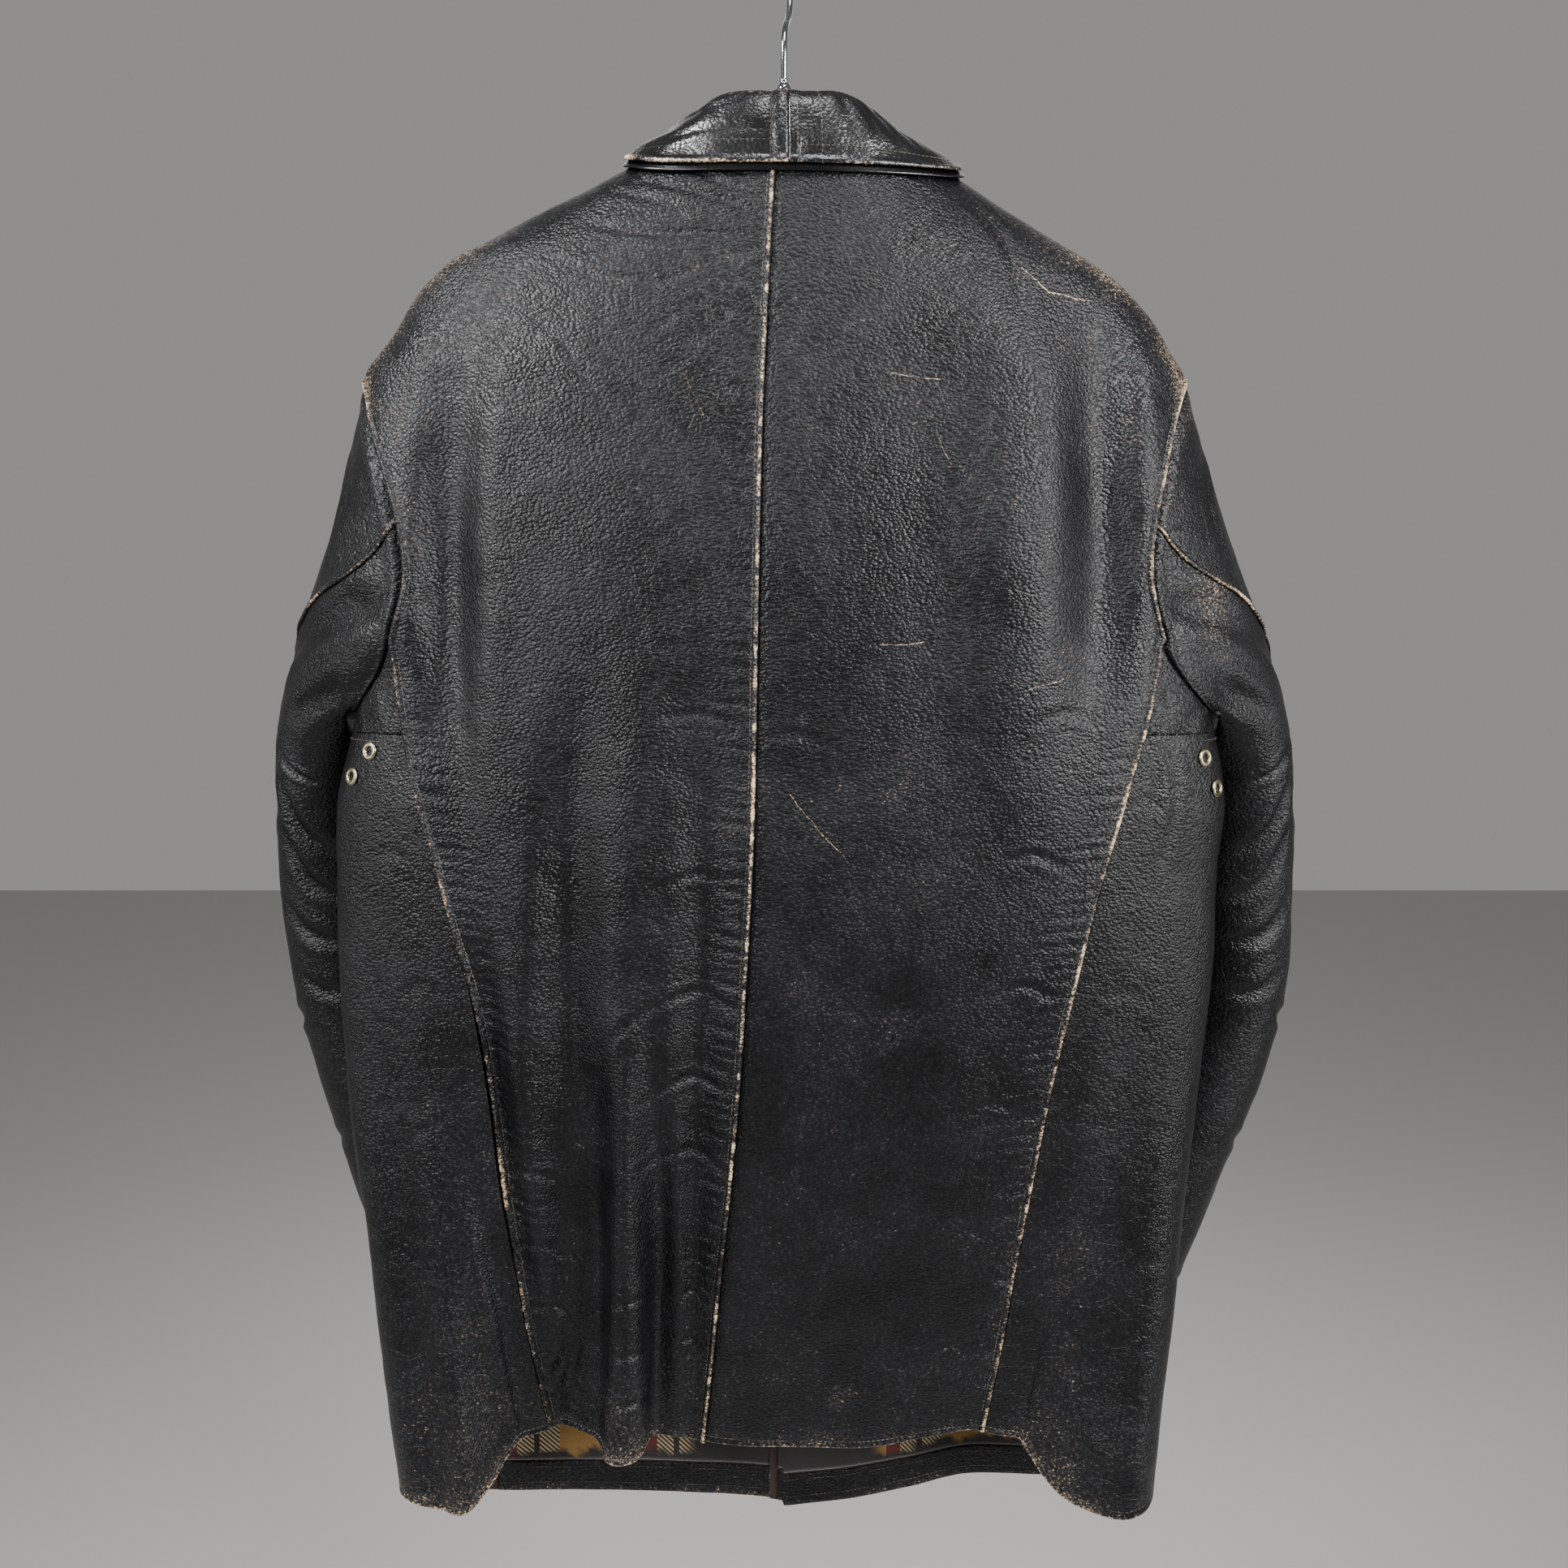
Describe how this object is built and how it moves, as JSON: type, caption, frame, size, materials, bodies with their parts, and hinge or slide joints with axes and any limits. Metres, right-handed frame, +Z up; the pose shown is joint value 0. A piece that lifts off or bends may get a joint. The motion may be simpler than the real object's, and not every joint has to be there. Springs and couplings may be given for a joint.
{
  "type": "worn leather coat on a hanger",
  "caption": "Worn black leather coat hung on a wooden hanger with a wire hook, with an open neck, cuffs and hem.",
  "frame": {"origin": "where a rail carries the hook: the top of the inside of its bend", "axes": "+Z up; the back of the coat faces -Y; +X is the wearer's right"},
  "size_m": [0.6965, 0.2241, 1.0448],
  "materials": {
    "leather": "black pebbled leather, worn to a soft sheen",
    "worn_leather": "black leather with its edges worn to tan",
    "plaid_wool": "twilled plaid wool",
    "nickel": "rolled and nickel plated",
    "horn": "polished dark button",
    "beech": "lacquered",
    "chrome_wire": "polished"
  },
  "bodies": {
    "root": {"back_left": "leather", "back_right": "leather", "front_left": "leather", "front_right": "leather", "side_left": "leather", "side_right": "leather", "gusset_left": "leather", "gusset_right": "leather", "sleeve_upper_left": "leather", "sleeve_upper_right": "leather", "sleeve_under_left": "leather", "sleeve_under_right": "leather", "collar_left": "worn_leather", "collar_right": "worn_leather", "under_collar": "worn_leather", "facing_left": "worn_leather", "facing_right": "worn_leather", "lining_left": "plaid_wool", "lining_right": "plaid_wool", "eyelet_left_1": "nickel", "eyelet_left_2": "nickel", "eyelet_right_1": "nickel", "eyelet_right_2": "nickel", "button_1": "horn", "button_2": "horn", "button_3": "horn", "button_4": "horn", "button_5": "horn", "hanger_body": "beech", "hanger_hook": "chrome_wire", "hanger_ferrule": "chrome_wire"}
  },
  "joints": []
}
